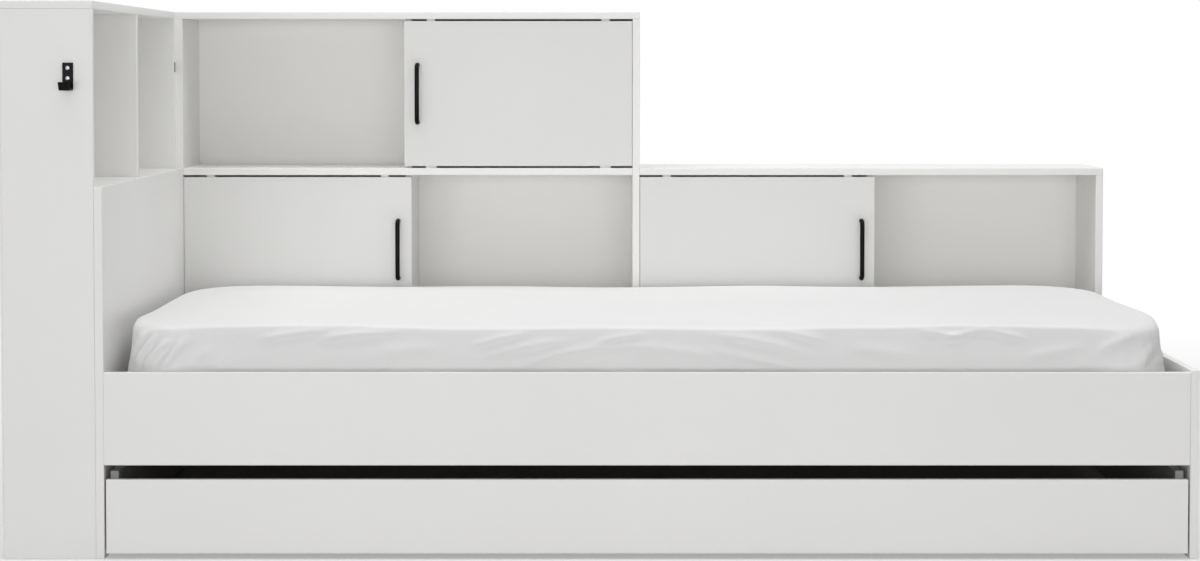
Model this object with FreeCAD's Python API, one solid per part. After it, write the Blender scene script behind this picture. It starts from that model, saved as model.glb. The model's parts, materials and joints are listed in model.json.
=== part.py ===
import FreeCAD, Part
import math
import os

from FreeCAD import Vector

# Storage bed in white board: a bed with a rolling drawer, a cabinet at its head and a bookcase
# with sliding doors along its back. The origin is on the floor, under the middle of the object.
# +X runs from head to foot, +Y from the front to the wall, +Z up. All sizes are millimetres.

# Boards
BOARD = 16.0
BACK_PANEL = 3.0
BACK_PANEL_INSET = 1.0
TOP_LIP = 1.0

# Mattress and its fitted sheet
MATTRESS_LENGTH = 1976.0
MATTRESS_WIDTH = 900.0
MATTRESS_BORDER = 187.0
MATTRESS_CROWN = 6.0
MATTRESS_CORNER = 70.0
MATTRESS_TOP_ROUND = 26.0
MATTRESS_FOOT_ROUND = 16.0
MATTRESS_DRAW_IN = 5.0
MATTRESS_CROWN_INSET = 230.0
MATTRESS_END_GAP = 31.0
MATTRESS_SIDE_GAP = 5.0
SHEET = 1.0
SHEET_EASE = 0.3
SHEET_HEM_LIFT = 4.0
ROUND_STEPS = 4

# Bed frame
RAIL_HEIGHT = 175.0
FOOT_RISE = 4.0
SLAT_COUNT = 14
SLAT_WIDTH = 70.0
SLAT_THICKNESS = 14.0
SLAT_END_GAP = 1.0
SLAT_MARGIN = 40.0
MATTRESS_DEPTH_IN_FRAME = 102.0
LEDGE_DEPTH = 24.0
LEDGE_HEIGHT = 40.0

# Drawer under the bed, on four castors
DRAWER_FRONT_HEIGHT = 140.0
DRAWER_FRONT_LIFT = 10.5
DRAWER_FRONT_GAP = 3.3
DRAWER_SIDE_HEIGHT = 150.0
DRAWER_SIDE_LIFT = 15.0
DRAWER_SIDE_GAP = 9.0
DRAWER_BOTTOM = 6.0
DRAWER_GROOVE = 6.0
GROOVE_PLAY = 0.2
STOP_WIDTH = 24.0
STOP_DEPTH = 18.0
STOP_HEIGHT = 60.0
STOP_LIFT = 60.0
STOP_REAR_GAP = 64.0

# Castors
WHEEL_RADIUS = 20.0
WHEEL_WIDTH = 18.0
WHEEL_EDGE = 3.0
WHEEL_TOP_GAP = 3.0
WHEEL_SIDE_GAP = 0.5
AXLE_RADIUS = 3.0
AXLE_PLAY = 0.05
AXLE_HEAD_RADIUS = 5.0
AXLE_HEAD = 1.5
CASTOR_STEEL = 2.0
CASTOR_PLATE_LENGTH = 56.0
CASTOR_PLATE_WIDTH = 44.0
CASTOR_CHEEK_WIDTH = 22.0
CASTOR_INSET = 70.0

# Head cabinet
CABINET_WIDTH = 173.0
CABINET_KICK = 60.0

# Bookcase
BOOKCASE_DEPTH = 240.0
ROW_HEIGHT = 332.0
FIRST_ROW_FLOOR = 352.0
STRETCHER_HEIGHT = 100.0

# Sliding doors and their glides
DOOR_RECESS = 2.0
DOOR_GAP = 4.0
DOOR_END_GAP = 0.5
PARTITION_GAP = 2.0
TRACK_WIDTH = 5.0
TRACK_DEPTH = 5.0
TRACK_END_GAP = 1.0
GLIDE_PLAY = 0.3
GLIDE_DEPTH = 10.0
UPPER_GLIDE_WIDTH = 18.0
LOWER_GLIDE_WIDTH = 24.0
GLIDE_INSET = 60.0
GLIDE_PEG_RADIUS = 3.0
GLIDE_PEG_LENGTH = 12.0

# Bow handles
HANDLE_BAR_RADIUS = 5.0
HANDLE_SPAN = 128.0
HANDLE_REACH = 30.0
HANDLE_BEND = 14.0
HANDLE_INSET = 30.0
HANDLE_SCREW_RADIUS = 2.0
HANDLE_SCREW_GRIP = 12.0
HANDLE_SCREW_HEAD_RADIUS = 4.0
HANDLE_SCREW_HEAD = 2.5

# Coat hook on the end of the head cabinet
HOOK_WIDTH = 20.0
HOOK_PLATE_HEIGHT = 52.0
HOOK_STEEL = 3.0
HOOK_REACH = 46.0
HOOK_LIP_LEAN = 9.0
HOOK_LIP_HEIGHT = 16.0
HOOK_BEND = 4.0
EDGE_REACH = 0.001
HOOK_FROM_HEADBOARD = 45.5
HOOK_BELOW_TOP = 116.0
HOOK_SCREW_TOP_DROP = 10.0
HOOK_SCREW_SPACING = 19.0
HOOK_SCREW_RADIUS = 2.0
HOOK_SCREW_LENGTH = 12.0
HOOK_SCREW_HEAD_RADIUS = 3.8
HOOK_SCREW_HEAD = 1.8

# Connector plate let into the edge of the cabinet's rear panel
PLATE_THICKNESS = 2.0
PLATE_HEIGHT = 22.0
PLATE_BELOW_TOP = 112.0
PLATE_EDGE = 1.0

# Hidden connectors between the boards
CAM_RADIUS = 7.5
CAM_DEPTH = 12.5
CAM_SETBACK = 24.0
CAM_BOLT_RADIUS = 3.0
CAM_BOLT_IN_PANEL = 9.0
DOWEL_RADIUS = 4.0
DOWEL_IN_FACE = 10.0
DOWEL_IN_EDGE = 20.0
CONNECTOR_FIT = 0.1
TALL_CONNECTOR_INSET = 50.0
LOW_CONNECTOR_INSET = 85.0
RAIL_CONNECTOR_INSET = 40.0

# Places along X
BED_LENGTH = MATTRESS_LENGTH + 2 * MATTRESS_END_GAP + 2 * BOARD
LENGTH = TOP_LIP + BACK_PANEL + CABINET_WIDTH + BED_LENGTH
LEFT = -LENGTH / 2
CABINET_LEFT = LEFT + TOP_LIP + BACK_PANEL
HEAD = CABINET_LEFT + CABINET_WIDTH
HEAD_IN = HEAD + BOARD
FOOT = HEAD + BED_LENGTH
FOOT_IN = FOOT - BOARD
MIDDLE = HEAD + BED_LENGTH / 2
MIDDLE_IN = MIDDLE - BOARD
BAY = (MIDDLE_IN - HEAD_IN - BOARD) / 2
TALL_PARTITION = (HEAD_IN + BAY, HEAD_IN + BAY + BOARD)
LOW_PARTITION = (FOOT_IN - BAY - BOARD, FOOT_IN - BAY)

# Places along Y
BED_DEPTH = MATTRESS_WIDTH + 2 * MATTRESS_SIDE_GAP + 2 * BOARD
DEPTH = BED_DEPTH + BOOKCASE_DEPTH + BACK_PANEL
FRONT = (HOOK_REACH - DEPTH) / 2
FRONT_IN = FRONT + BOARD
BOOK_FRONT = FRONT + BED_DEPTH
REAR_IN = BOOK_FRONT - BOARD
BOOK_BACK = BOOK_FRONT + BOOKCASE_DEPTH
DOOR_FRONT = BOOK_FRONT + DOOR_RECESS
DOOR_BACK = DOOR_FRONT + BOARD
DOOR_MID = (DOOR_FRONT + DOOR_BACK) / 2
PARTITION_FRONT = DOOR_BACK + PARTITION_GAP
DRAWER_DEPTH = BED_DEPTH - STOP_REAR_GAP - STOP_DEPTH
DRAWER_BACK = FRONT + DRAWER_DEPTH

# Levels
FLOOR_UNDER = FIRST_ROW_FLOOR - BOARD
SHELF_UNDER = FIRST_ROW_FLOOR + ROW_HEIGHT
SHELF_TOP = SHELF_UNDER + BOARD
TOP_UNDER = SHELF_TOP + ROW_HEIGHT
HEIGHT = TOP_UNDER + BOARD
RAIL_TOP = FIRST_ROW_FLOOR
RAIL_UNDER = RAIL_TOP - RAIL_HEIGHT
SLAT_TOP = RAIL_TOP - MATTRESS_DEPTH_IN_FRAME
LEDGE_TOP = SLAT_TOP - SLAT_THICKNESS
DRAWER_SIDE_TOP = DRAWER_SIDE_LIFT + DRAWER_SIDE_HEIGHT
CASTOR_TOP = 2 * WHEEL_RADIUS + WHEEL_TOP_GAP + CASTOR_STEEL

X_AXIS = Vector(1, 0, 0)
Y_AXIS = Vector(0, 1, 0)
Z_AXIS = Vector(0, 0, 1)

pieces = {}


def block(x, y, z):
    """A box between the low and high values of each pair."""
    corner = Vector(x[0], y[0], z[0])
    return Part.makeBox(x[1] - x[0], y[1] - y[0], z[1] - z[0], corner)


def around(middle, width):
    """The pair of values that lies evenly about a middle."""
    return (middle - width / 2, middle + width / 2)


def rod(radius, start, direction, length):
    return Part.makeCylinder(radius, length, start, direction)


def cut(name, tool):
    pieces[name] = pieces[name].cut(tool)


# Head cabinet

def head_cabinet():
    width = (CABINET_LEFT, HEAD)
    inside = (FRONT_IN, REAR_IN)
    upright = (0, TOP_UNDER)
    pieces["cabinet_front_panel"] = block(width, (FRONT, FRONT_IN), upright)
    pieces["cabinet_rear_panel"] = block(width, (REAR_IN, BOOK_FRONT), upright)
    pieces["cabinet_top"] = block((LEFT, HEAD), (FRONT, BOOK_FRONT), (TOP_UNDER, HEIGHT))
    pieces["cabinet_shelf"] = block(width, inside, (SHELF_UNDER, SHELF_TOP))
    pieces["cabinet_bottom"] = block(width, inside, (CABINET_KICK, CABINET_KICK + BOARD))
    middle = around((FRONT + BOOK_FRONT) / 2, BOARD)
    pieces["cabinet_divider"] = block(width, middle, (SHELF_TOP, TOP_UNDER))
    pieces["cabinet_back_panel"] = block(
        (CABINET_LEFT - BACK_PANEL, CABINET_LEFT),
        (FRONT + BACK_PANEL_INSET, BOOK_FRONT - BACK_PANEL_INSET),
        (CABINET_KICK, TOP_UNDER),
    )


def connector_plate():
    top = HEIGHT - PLATE_BELOW_TOP
    plate = block(
        (HEAD - PLATE_THICKNESS, HEAD),
        (REAR_IN + PLATE_EDGE, BOOK_FRONT - PLATE_EDGE),
        (top - PLATE_HEIGHT, top),
    )
    pieces["connector_plate"] = plate
    cut("cabinet_rear_panel", plate)


def bar_edge(shape, y, z):
    """The edge of a shape that runs along X at the given place."""
    for edge in shape.Edges:
        ends = [v.Point for v in edge.Vertexes]
        if all(math.hypot(p.y - y, p.z - z) < EDGE_REACH for p in ends):
            return edge


def coat_hook():
    """A flat bar bent forward and up, screwed to the cabinet's end panel."""
    top = HEIGHT - HOOK_BELOW_TOP
    bottom = top - HOOK_PLATE_HEIGHT
    middle = HEAD - HOOK_FROM_HEADBOARD
    left = middle - HOOK_WIDTH / 2
    tip = FRONT - HOOK_REACH
    heel = tip + HOOK_LIP_LEAN
    lean_at_steel = HOOK_LIP_LEAN * (1 - HOOK_STEEL / HOOK_LIP_HEIGHT)
    outline = [
        (FRONT, top),
        (FRONT - HOOK_STEEL, top),
        (FRONT - HOOK_STEEL, bottom + HOOK_STEEL),
        (tip + HOOK_STEEL + lean_at_steel, bottom + HOOK_STEEL),
        (tip + HOOK_STEEL, bottom + HOOK_LIP_HEIGHT),
        (tip, bottom + HOOK_LIP_HEIGHT),
        (heel, bottom),
        (FRONT, bottom),
    ]
    points = [Vector(left, y, z) for y, z in outline]
    profile = Part.Face(Part.makePolygon(points + points[:1]))
    hook = profile.extrude(Vector(HOOK_WIDTH, 0, 0))
    inner_bends = [bar_edge(hook, *outline[i]) for i in (2, 3)]
    hook = hook.makeFillet(HOOK_BEND, inner_bends)
    outer_bends = [bar_edge(hook, *outline[i]) for i in (6, 7)]
    hook = hook.makeFillet(HOOK_BEND + HOOK_STEEL, outer_bends)
    screws = []
    for drop in (HOOK_SCREW_TOP_DROP, HOOK_SCREW_TOP_DROP + HOOK_SCREW_SPACING):
        seat = Vector(middle, FRONT - HOOK_STEEL, top - drop)
        head = rod(HOOK_SCREW_HEAD_RADIUS, seat, -Y_AXIS, HOOK_SCREW_HEAD)
        shank = rod(HOOK_SCREW_RADIUS, seat, Y_AXIS, HOOK_STEEL + HOOK_SCREW_LENGTH)
        hole = rod(HOOK_SCREW_RADIUS + CONNECTOR_FIT, seat, Y_AXIS, HOOK_STEEL + HOOK_SCREW_LENGTH)
        hook = hook.cut(hole)
        cut("cabinet_front_panel", hole)
        screws.append(head.fuse(shank).removeSplitter())
    pieces["coat_hook"] = hook
    pieces["coat_hook_screws"] = Part.makeCompound(screws)


# Bed frame

def bed_frame():
    deep = (FRONT, BOOK_FRONT)
    between = (HEAD_IN, FOOT_IN)
    rail = (RAIL_UNDER, RAIL_TOP)
    ledge = (LEDGE_TOP - LEDGE_HEIGHT, LEDGE_TOP)
    pieces["headboard_panel"] = block((HEAD, HEAD_IN), deep, (0, SHELF_TOP))
    pieces["foot_panel"] = block((FOOT_IN, FOOT), deep, (0, RAIL_TOP + FOOT_RISE))
    pieces["front_rail"] = block(between, (FRONT, FRONT_IN), rail)
    pieces["rear_rail"] = block(between, (REAR_IN, BOOK_FRONT), rail)
    pieces["front_slat_ledge"] = block(between, (FRONT_IN, FRONT_IN + LEDGE_DEPTH), ledge)
    pieces["rear_slat_ledge"] = block(between, (REAR_IN - LEDGE_DEPTH, REAR_IN), ledge)


def slats():
    across = (FRONT_IN + SLAT_END_GAP, REAR_IN - SLAT_END_GAP)
    first = HEAD_IN + SLAT_MARGIN + SLAT_WIDTH / 2
    last = FOOT_IN - SLAT_MARGIN - SLAT_WIDTH / 2
    pitch = (last - first) / (SLAT_COUNT - 1)
    rows = []
    for i in range(SLAT_COUNT):
        rows.append(block(around(first + i * pitch, SLAT_WIDTH), across, (LEDGE_TOP, SLAT_TOP)))
    pieces["slats"] = Part.makeCompound(rows)


def drawer_stops():
    y = (DRAWER_BACK, DRAWER_BACK + STOP_DEPTH)
    z = (STOP_LIFT, STOP_LIFT + STOP_HEIGHT)
    head_stop = block((HEAD_IN, HEAD_IN + STOP_WIDTH), y, z)
    foot_stop = block((FOOT_IN - STOP_WIDTH, FOOT_IN), y, z)
    pieces["drawer_stops"] = Part.makeCompound([head_stop, foot_stop])


# Mattress

def rounded_ring(length, width, radius, z):
    """A rectangle with round corners, lying level about the middle of the bed."""
    cx = (HEAD_IN + FOOT_IN) / 2
    cy = (FRONT_IN + REAR_IN) / 2
    dx = length / 2 - radius
    dy = width / 2 - radius
    corners = [(1, -1), (1, 1), (-1, 1), (-1, -1)]
    edges = []
    last = None
    first = None
    for i, (sx, sy) in enumerate(corners):
        centre = Vector(cx + sx * dx, cy + sy * dy, z)
        turn = [math.radians(90 * i - 90 + a) for a in (0, 45, 90)]
        arc = [centre + Vector(radius * math.cos(a), radius * math.sin(a), 0) for a in turn]
        if last is None:
            first = arc[0]
        else:
            edges.append(Part.LineSegment(last, arc[0]).toShape())
        edges.append(Part.Arc(*arc).toShape())
        last = arc[2]
    edges.append(Part.LineSegment(last, first).toShape())
    return Part.Wire(edges)


def mattress_form(grow, base):
    """The crowned mattress with drawn-in sides, made larger by grow all round and cut off at base."""
    edge_top = SLAT_TOP + MATTRESS_BORDER
    levels = [(base, MATTRESS_FOOT_ROUND)]
    for i in range(1, ROUND_STEPS + 1):
        a = math.radians(90 * i / ROUND_STEPS)
        rise = MATTRESS_FOOT_ROUND * math.sin(a)
        levels.append((SLAT_TOP + rise, MATTRESS_FOOT_ROUND * (1 - math.sin(a))))
    levels.append((SLAT_TOP + MATTRESS_BORDER / 2, MATTRESS_DRAW_IN))
    for i in range(ROUND_STEPS + 1):
        a = math.radians(90 * i / ROUND_STEPS)
        z = edge_top - MATTRESS_TOP_ROUND * (1 - math.sin(a)) + grow * math.sin(a)
        levels.append((z, MATTRESS_TOP_ROUND * (1 - math.cos(a))))
    levels.append((edge_top + MATTRESS_CROWN + grow, MATTRESS_CROWN_INSET))
    rings = []
    for z, inset in levels:
        length = MATTRESS_LENGTH + 2 * (grow - inset)
        width = MATTRESS_WIDTH + 2 * (grow - inset)
        radius = max(MATTRESS_CORNER + grow - inset, MATTRESS_CORNER / 3)
        rings.append(rounded_ring(length, width, radius, z))
    return Part.makeLoft(rings, True, True)


def mattress():
    pieces["mattress"] = mattress_form(0, SLAT_TOP)
    hem = SLAT_TOP + SHEET_HEM_LIFT
    outer = mattress_form(SHEET_EASE + SHEET, SLAT_TOP)
    inner = mattress_form(SHEET_EASE, SLAT_TOP)
    below = block((HEAD_IN, FOOT_IN), (FRONT_IN, REAR_IN), (LEDGE_TOP, hem))
    pieces["fitted_sheet"] = outer.cut(inner).cut(below)


# Drawer

def drawer():
    side_z = (DRAWER_SIDE_LIFT, DRAWER_SIDE_TOP)
    side_y = (FRONT_IN, DRAWER_BACK)
    left_out = HEAD_IN + DRAWER_SIDE_GAP
    right_out = FOOT_IN - DRAWER_SIDE_GAP
    left_in = left_out + BOARD
    right_in = right_out - BOARD
    back_in = DRAWER_BACK - BOARD
    bottom_z = (CASTOR_TOP, CASTOR_TOP + DRAWER_BOTTOM)
    pieces["drawer_front"] = block(
        (HEAD_IN + DRAWER_FRONT_GAP, FOOT_IN - DRAWER_FRONT_GAP),
        (FRONT, FRONT_IN),
        (DRAWER_FRONT_LIFT, DRAWER_FRONT_LIFT + DRAWER_FRONT_HEIGHT),
    )
    pieces["drawer_left_side"] = block((left_out, left_in), side_y, side_z)
    pieces["drawer_right_side"] = block((right_in, right_out), side_y, side_z)
    pieces["drawer_back"] = block((left_in, right_in), (back_in, DRAWER_BACK), side_z)
    reach = DRAWER_GROOVE - GROOVE_PLAY
    panel_x = (left_in - reach, right_in + reach)
    panel_y = (FRONT_IN - reach, back_in + reach)
    groove = block(
        (left_in - DRAWER_GROOVE, right_in + DRAWER_GROOVE),
        (FRONT_IN - DRAWER_GROOVE, back_in + DRAWER_GROOVE),
        (bottom_z[0], bottom_z[1] + GROOVE_PLAY),
    )
    pieces["drawer_bottom"] = block(panel_x, panel_y, bottom_z)
    for name in ("drawer_front", "drawer_left_side", "drawer_right_side", "drawer_back"):
        cut(name, groove)
    centre = (left_in + right_in) / 2
    rail_z = (DRAWER_SIDE_LIFT, CASTOR_TOP)
    pieces["drawer_centre_rail"] = block(around(centre, BOARD), (FRONT_IN, back_in), rail_z)


def castor_places():
    """The middle of each wheel, by name."""
    xs = {
        "left": HEAD_IN + DRAWER_SIDE_GAP + BOARD + CASTOR_INSET,
        "right": FOOT_IN - DRAWER_SIDE_GAP - BOARD - CASTOR_INSET,
    }
    ys = {"front": FRONT_IN + CASTOR_INSET, "rear": DRAWER_BACK - BOARD - CASTOR_INSET}
    return {f"{v}_{h}": Vector(xs[h], ys[v], WHEEL_RADIUS) for v in ys for h in xs}


def castor_bracket(place):
    """A folded steel bracket: a plate under the drawer and a cheek each side of the wheel."""
    under = CASTOR_TOP - CASTOR_STEEL
    bracket = block(
        around(place.x, CASTOR_PLATE_WIDTH),
        around(place.y, CASTOR_PLATE_LENGTH),
        (under, CASTOR_TOP),
    )
    gap = WHEEL_WIDTH / 2 + WHEEL_SIDE_GAP
    for side in (-1, 1):
        inner = place.x + side * gap
        outer = inner + side * CASTOR_STEEL
        low = place.z - CASTOR_CHEEK_WIDTH / 4
        cheek = block(
            (min(inner, outer), max(inner, outer)),
            around(place.y, CASTOR_CHEEK_WIDTH),
            (low, under),
        )
        bracket = bracket.fuse(cheek)
    hole_start = place - X_AXIS * (gap + CASTOR_STEEL)
    hole = rod(AXLE_RADIUS + AXLE_PLAY, hole_start, X_AXIS, 2 * (gap + CASTOR_STEEL))
    return bracket.cut(hole).removeSplitter()


def castor_axle(place):
    """A riveted pin through both cheeks."""
    half = WHEEL_WIDTH / 2 + WHEEL_SIDE_GAP + CASTOR_STEEL
    pin = rod(AXLE_RADIUS, place - X_AXIS * half, X_AXIS, 2 * half)
    for side in (-1, 1):
        head = rod(AXLE_HEAD_RADIUS, place + X_AXIS * (side * half), X_AXIS * side, AXLE_HEAD)
        pin = pin.fuse(head)
    return pin.removeSplitter()


def castor_wheel(place):
    half = WHEEL_WIDTH / 2
    tread = half - WHEEL_EDGE
    bore = AXLE_RADIUS + AXLE_PLAY
    outline = [
        (-half, bore),
        (-half, WHEEL_RADIUS - WHEEL_EDGE),
        (-tread, WHEEL_RADIUS),
        (tread, WHEEL_RADIUS),
        (half, WHEEL_RADIUS - WHEEL_EDGE),
        (half, bore),
    ]
    points = [place + Vector(x, 0, r) for x, r in outline]
    profile = Part.Face(Part.makePolygon(points + points[:1]))
    return profile.revolve(place, X_AXIS, 360)


def castors():
    places = castor_places()
    pieces["castor_brackets"] = Part.makeCompound([castor_bracket(p) for p in places.values()])
    pieces["castor_axles"] = Part.makeCompound([castor_axle(p) for p in places.values()])
    for name, place in places.items():
        pieces[f"castor_wheel_{name}"] = castor_wheel(place)


# Bookcase

def bookcase():
    deep = (BOOK_FRONT, BOOK_BACK)
    partition = (PARTITION_FRONT, BOOK_BACK)
    tall_in = (HEAD_IN, MIDDLE_IN)
    low_in = (MIDDLE, FOOT_IN)
    upper = (SHELF_TOP, TOP_UNDER)
    lower = (FIRST_ROW_FLOOR, SHELF_UNDER)
    floor = (FLOOR_UNDER, FIRST_ROW_FLOOR)
    shelf = (SHELF_UNDER, SHELF_TOP)
    pieces["bookcase_left_side"] = block((HEAD, HEAD_IN), deep, (0, TOP_UNDER))
    pieces["bookcase_middle_side"] = block((MIDDLE_IN, MIDDLE), deep, (0, TOP_UNDER))
    pieces["bookcase_right_side"] = block((FOOT_IN, FOOT), deep, (0, SHELF_UNDER))
    pieces["tall_top"] = block((HEAD, MIDDLE), deep, (TOP_UNDER, HEIGHT))
    pieces["low_top"] = block((MIDDLE, FOOT), deep, shelf)
    pieces["tall_shelf"] = block(tall_in, deep, shelf)
    pieces["tall_floor"] = block(tall_in, deep, floor)
    pieces["low_floor"] = block(low_in, deep, floor)
    pieces["upper_partition"] = block(TALL_PARTITION, partition, upper)
    pieces["lower_partition"] = block(TALL_PARTITION, partition, lower)
    pieces["low_partition"] = block(LOW_PARTITION, partition, lower)


def bookcase_back():
    y = (BOOK_BACK, BOOK_BACK + BACK_PANEL)
    low_z = FLOOR_UNDER + BACK_PANEL_INSET
    inset = BACK_PANEL_INSET
    tall_x = (HEAD + inset, MIDDLE - inset)
    low_x = (MIDDLE + inset, FOOT - inset)
    pieces["tall_back_panel"] = block(tall_x, y, (low_z, HEIGHT - inset))
    pieces["low_back_panel"] = block(low_x, y, (low_z, SHELF_TOP - inset))
    rail_y = (BOOK_BACK - BOARD, BOOK_BACK)
    rail_z = (FLOOR_UNDER - STRETCHER_HEIGHT, FLOOR_UNDER)
    tall = block((HEAD_IN, MIDDLE_IN), rail_y, rail_z)
    low = block((MIDDLE, FOOT_IN), rail_y, rail_z)
    pieces["bookcase_stretchers"] = Part.makeCompound([tall, low])


# Sliding doors

def door_glide(x, edge, board, width):
    """A glide pegged into a door's edge, with a tongue in the track of the board that it faces."""
    out = 1 if board > edge else -1
    foot = (edge, board - out * GLIDE_PLAY)
    tongue = (foot[1], board + out * (TRACK_DEPTH - TRACK_END_GAP))
    body = block(around(x, width), around(DOOR_MID, GLIDE_DEPTH), (min(foot), max(foot)))
    tongue_depth = TRACK_WIDTH - 2 * GLIDE_PLAY
    body = body.fuse(block(around(x, width), around(DOOR_MID, tongue_depth), (min(tongue), max(tongue))))
    peg = rod(GLIDE_PEG_RADIUS, Vector(x, DOOR_MID, edge), Z_AXIS * -out, GLIDE_PEG_LENGTH)
    return body.fuse(peg).removeSplitter()


def door_handle(x, z):
    """A round bar bent twice, standing off the door on its two feet."""
    half = HANDLE_SPAN / 2
    reach = HANDLE_REACH - HANDLE_BAR_RADIUS
    crown = DOOR_FRONT - reach
    bend = HANDLE_BEND * (1 - math.sqrt(0.5))
    foot_low = Vector(x, DOOR_FRONT, z - half)
    foot_high = Vector(x, DOOR_FRONT, z + half)
    path = Part.Wire([
        Part.LineSegment(foot_low, Vector(x, crown + HANDLE_BEND, z - half)).toShape(),
        Part.Arc(
            Vector(x, crown + HANDLE_BEND, z - half),
            Vector(x, crown + bend, z - half + bend),
            Vector(x, crown, z - half + HANDLE_BEND),
        ).toShape(),
        Part.LineSegment(
            Vector(x, crown, z - half + HANDLE_BEND),
            Vector(x, crown, z + half - HANDLE_BEND),
        ).toShape(),
        Part.Arc(
            Vector(x, crown, z + half - HANDLE_BEND),
            Vector(x, crown + bend, z + half - bend),
            Vector(x, crown + HANDLE_BEND, z + half),
        ).toShape(),
        Part.LineSegment(Vector(x, crown + HANDLE_BEND, z + half), foot_high).toShape(),
    ])
    section = Part.Wire(Part.makeCircle(HANDLE_BAR_RADIUS, foot_low, Y_AXIS))
    bar = path.makePipeShell([section], True, False)
    return bar, (foot_low, foot_high)


def sliding_door(name, x, row, handle_x):
    """A door with its handle, screws and glides."""
    z = (row[0] + DOOR_GAP, row[1] - DOOR_GAP)
    door = block(x, (DOOR_FRONT, DOOR_BACK), z)
    glides = []
    for glide_x in (x[0] + GLIDE_INSET, x[1] - GLIDE_INSET):
        glides.append(door_glide(glide_x, z[0], row[0], LOWER_GLIDE_WIDTH))
        glides.append(door_glide(glide_x, z[1], row[1], UPPER_GLIDE_WIDTH))
        for edge, inward in ((z[0], Z_AXIS), (z[1], -Z_AXIS)):
            start = Vector(glide_x, DOOR_MID, edge)
            door = door.cut(rod(GLIDE_PEG_RADIUS + CONNECTOR_FIT, start, inward, GLIDE_PEG_LENGTH))
    handle, feet = door_handle(handle_x, (z[0] + z[1]) / 2)
    screws = []
    for foot in feet:
        seat = Vector(foot.x, DOOR_BACK - HANDLE_SCREW_HEAD, foot.z)
        grip = BOARD - HANDLE_SCREW_HEAD + HANDLE_SCREW_GRIP
        head = rod(HANDLE_SCREW_HEAD_RADIUS, seat, Y_AXIS, HANDLE_SCREW_HEAD)
        shank = rod(HANDLE_SCREW_RADIUS, seat, -Y_AXIS, grip)
        hole = rod(HANDLE_SCREW_RADIUS + CONNECTOR_FIT, seat, -Y_AXIS, grip)
        sink = rod(HANDLE_SCREW_HEAD_RADIUS + CONNECTOR_FIT, seat, Y_AXIS, HANDLE_SCREW_HEAD)
        handle = handle.cut(hole)
        door = door.cut(hole.fuse(sink))
        screws.append(head.fuse(shank).removeSplitter())
    pieces[name] = door
    pieces[f"{name}_handle"] = handle
    pieces[f"{name}_handle_screws"] = Part.makeCompound(screws)
    pieces[f"{name}_glides"] = Part.makeCompound(glides)


def door_tracks(span, row, lower_board, upper_board):
    """The grooves above and below a door, in which its glides run."""
    across = around(DOOR_MID, TRACK_WIDTH)
    cut(lower_board, block(span, across, (row[0] - TRACK_DEPTH, row[0])))
    cut(upper_board, block(span, across, (row[1], row[1] + TRACK_DEPTH)))


def sliding_doors():
    gap = DOOR_END_GAP
    upper = (SHELF_TOP, TOP_UNDER)
    lower = (FIRST_ROW_FLOOR, SHELF_UNDER)
    upper_x = (TALL_PARTITION[0], MIDDLE_IN - gap)
    lower_x = (HEAD_IN + gap, TALL_PARTITION[1])
    low_x = (MIDDLE + gap, LOW_PARTITION[1])
    sliding_door("upper_door", upper_x, upper, upper_x[0] + HANDLE_INSET)
    sliding_door("lower_door", lower_x, lower, lower_x[1] - HANDLE_INSET)
    sliding_door("low_door", low_x, lower, low_x[1] - HANDLE_INSET)
    door_tracks((HEAD_IN, MIDDLE_IN), upper, "tall_shelf", "tall_top")
    door_tracks((HEAD_IN, MIDDLE_IN), lower, "tall_floor", "tall_shelf")
    door_tracks((MIDDLE, FOOT_IN), lower, "low_floor", "low_top")


# Hidden connectors

def cam_joint(board, panel, at, into, face):
    """Sinks a cam into the face of a board near its end, with its bolt in the panel that the end meets."""
    seat = at + into * CAM_SETBACK + face * (BOARD / 2)
    cam = rod(CAM_RADIUS, seat, -face, CAM_DEPTH)
    pocket = rod(CAM_RADIUS + CONNECTOR_FIT, seat, -face, CAM_DEPTH)
    start = at - into * CAM_BOLT_IN_PANEL
    length = CAM_BOLT_IN_PANEL + CAM_SETBACK - CAM_RADIUS - CONNECTOR_FIT
    bolt = rod(CAM_BOLT_RADIUS, start, into, length)
    hole = rod(CAM_BOLT_RADIUS + CONNECTOR_FIT, start, into, CAM_BOLT_IN_PANEL + CAM_SETBACK)
    cut(board, pocket)
    cut(board, hole)
    cut(panel, hole)
    return [cam, bolt]


def end_cams(board, head_panel, foot_panel, x, stations, face):
    """Cam joints at both ends of a board that runs along X, at the places given across its end."""
    made = []
    for y, z in stations:
        made += cam_joint(board, head_panel, Vector(x[0], y, z), X_AXIS, face)
        made += cam_joint(board, foot_panel, Vector(x[1], y, z), -X_AXIS, face)
    return made


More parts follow.
